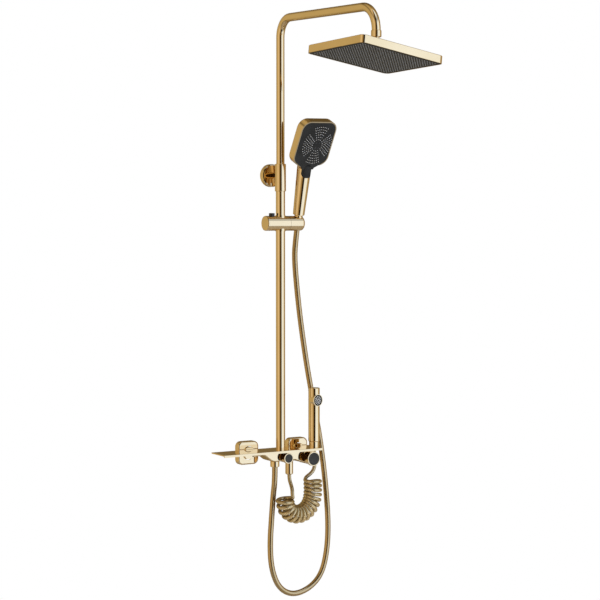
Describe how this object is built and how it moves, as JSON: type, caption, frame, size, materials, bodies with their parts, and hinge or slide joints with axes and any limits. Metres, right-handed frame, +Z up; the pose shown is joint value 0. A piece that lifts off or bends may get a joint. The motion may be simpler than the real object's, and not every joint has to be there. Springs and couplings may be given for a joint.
{
  "type": "rainfall shower column",
  "caption": "Wall-mounted shower column with a shelf, telescopic riser, tilting rain head, sliding hand shower holder and a bidet sprayer on a curly hose.",
  "frame": {"origin": "midway between the two wall inlets, on the wall's surface", "axes": "+X to the right along the wall, +Y into the wall, +Z up"},
  "size_m": [0.3354, 0.6486, 1.521],
  "materials": {
    "polished_gold": "polished",
    "plated_gold": "gold plated, polished",
    "charcoal": "matte",
    "black_plastic": "satin",
    "grey_silicone": "matte",
    "steel": "satin",
    "white_plastic": "matte",
    "gold_hose": "satin gold"
  },
  "bodies": {
    "base": {"mixer_body": "polished_gold", "shelf_plate": "polished_gold", "inlet_union_left": "polished_gold", "inlet_union_right": "polished_gold", "union_nuts": "polished_gold", "inlet_washers": "grey_silicone", "wall_flanges": "polished_gold", "riser_lower_tube": "polished_gold", "riser_joint_sleeve": "polished_gold", "bracket_stem": "polished_gold", "bracket_set_screw": "polished_gold", "bracket_rose": "polished_gold", "bracket_base": "steel", "bracket_wall_screws": "steel", "diverter_cartridge": "white_plastic", "diverter_retaining_ring": "polished_gold", "mixer_cartridge": "white_plastic", "mixer_retaining_ring": "polished_gold", "bidet_hose_ferrule": "polished_gold", "sprayer_cup": "polished_gold", "sprayer_hose_nut": "polished_gold", "hand_hose": "gold_hose", "hose_lower_nut": "polished_gold", "bidet_hose_lower_lead": "gold_hose", "bidet_hose_curl": "gold_hose", "bidet_hose_upper_lead": "gold_hose"},
    "diverter": {"diverter_knob": "polished_gold", "diverter_knob_face": "charcoal", "diverter_spindle": "polished_gold"},
    "mixer": {"mixer_knob": "polished_gold", "mixer_knob_face": "charcoal", "mixer_spindle": "polished_gold"},
    "arm": {"riser_upper_tube": "polished_gold", "riser_seals": "grey_silicone", "arm_nut": "polished_gold", "ball_stub": "polished_gold"},
    "swivel_seat": {"ball_swivel_seat": "black_plastic"},
    "tilt_seat": {"ball_tilt_seat": "black_plastic"},
    "rain_head": {"rain_head_cover": "plated_gold", "head_collar_nut": "polished_gold", "rain_head_face": "charcoal", "rain_nozzle_mat": "grey_silicone", "rain_water_chamber": "white_plastic"},
    "slider": {"slider_body": "plated_gold", "slider_bush": "plated_gold", "slider_end_cap": "plated_gold", "slider_spring": "steel", "slider_brake_pad": "grey_silicone"},
    "release_button": {"slider_button": "black_plastic"},
    "holder": {"holder_swivel": "plated_gold"},
    "hose_cone": {"hose_cone_nut": "polished_gold"},
    "handset": {"handset_shell": "plated_gold", "handset_inlet": "polished_gold", "handset_face": "charcoal"},
    "mode_button": {"handset_mode_button": "charcoal"},
    "sprayer": {"sprayer_body": "plated_gold", "sprayer_face": "charcoal", "sprayer_trigger_pin": "steel", "sprayer_trigger_spring": "steel"},
    "trigger": {"sprayer_trigger": "polished_gold"}
  },
  "joints": [
    {"name": "riser_telescope", "type": "slide", "parent": "base", "child": "arm", "axis": [0, 0, 1], "range_m": [-0.15, 0.18]},
    {"name": "head_swivel", "type": "hinge", "parent": "arm", "child": "swivel_seat", "pos_m": [0, -0.505, 1.0215], "axis": [0, 0, 1], "range_deg": [-90, 90]},
    {"name": "head_tilt_side", "type": "hinge", "parent": "swivel_seat", "child": "tilt_seat", "pos_m": [0, -0.505, 1.0215], "axis": [0.9907, 0.1357, 0], "range_deg": [-9, 14.8]},
    {"name": "head_tilt_front", "type": "hinge", "parent": "tilt_seat", "child": "rain_head", "pos_m": [0, -0.505, 1.0215], "axis": [-0.1355, 0.9895, -0.0506], "range_deg": [-20, 3.8]},
    {"name": "slider_height", "type": "slide", "parent": "base", "child": "slider", "axis": [0, 0, 1], "range_m": [-0.33, 0.05], "deforming": ["hand_hose"]},
    {"name": "release_press", "type": "slide", "parent": "slider", "child": "release_button", "axis": [0, 0, -1], "range_m": [0, 0.0025], "stiffness_N_per_m": 900, "springref_m": -0.003, "deforming": ["slider_spring"]},
    {"name": "holder_tilt", "type": "hinge", "parent": "slider", "child": "holder", "pos_m": [0.0215, -0.055, 0.595], "axis": [1, 0, 0], "range_deg": [-4, 12]},
    {"name": "handset_turn", "type": "hinge", "parent": "holder", "child": "hose_cone", "pos_m": [0.052, -0.055, 0.595], "axis": [0, -0.225, 0.9744], "range_deg": [-20, 30]},
    {"name": "handset_lift", "type": "slide", "parent": "hose_cone", "child": "handset", "axis": [0, -0.225, 0.9744], "range_m": [0, 0.08]},
    {"name": "mode_press", "type": "slide", "parent": "handset", "child": "mode_button", "axis": [-0.1045, 0.969, 0.2237], "range_m": [0, 0.0012], "stiffness_N_per_m": 600, "springref_m": -0.003},
    {"name": "diverter_turn", "type": "hinge", "parent": "base", "child": "diverter", "pos_m": [0, -0.09, -0.0151], "axis": [0, -1, 0], "range_deg": [-60, 60]},
    {"name": "mixer_turn", "type": "hinge", "parent": "base", "child": "mixer", "pos_m": [0.072, -0.09, -0.0205], "axis": [0, -1, 0], "range_deg": [-20, 90]},
    {"name": "sprayer_lift", "type": "slide", "parent": "base", "child": "sprayer", "axis": [0, 0, 1], "range_m": [0, 0.1]},
    {"name": "trigger_press", "type": "hinge", "parent": "sprayer", "child": "trigger", "pos_m": [0.09162, -0.05673, 0.155], "axis": [-0.9816, -0.1908, 0], "range_deg": [0, 6], "stiffness_Nm_per_rad": 0.6, "springref_deg": -5.73, "deforming": ["sprayer_trigger_spring"]}
  ]
}
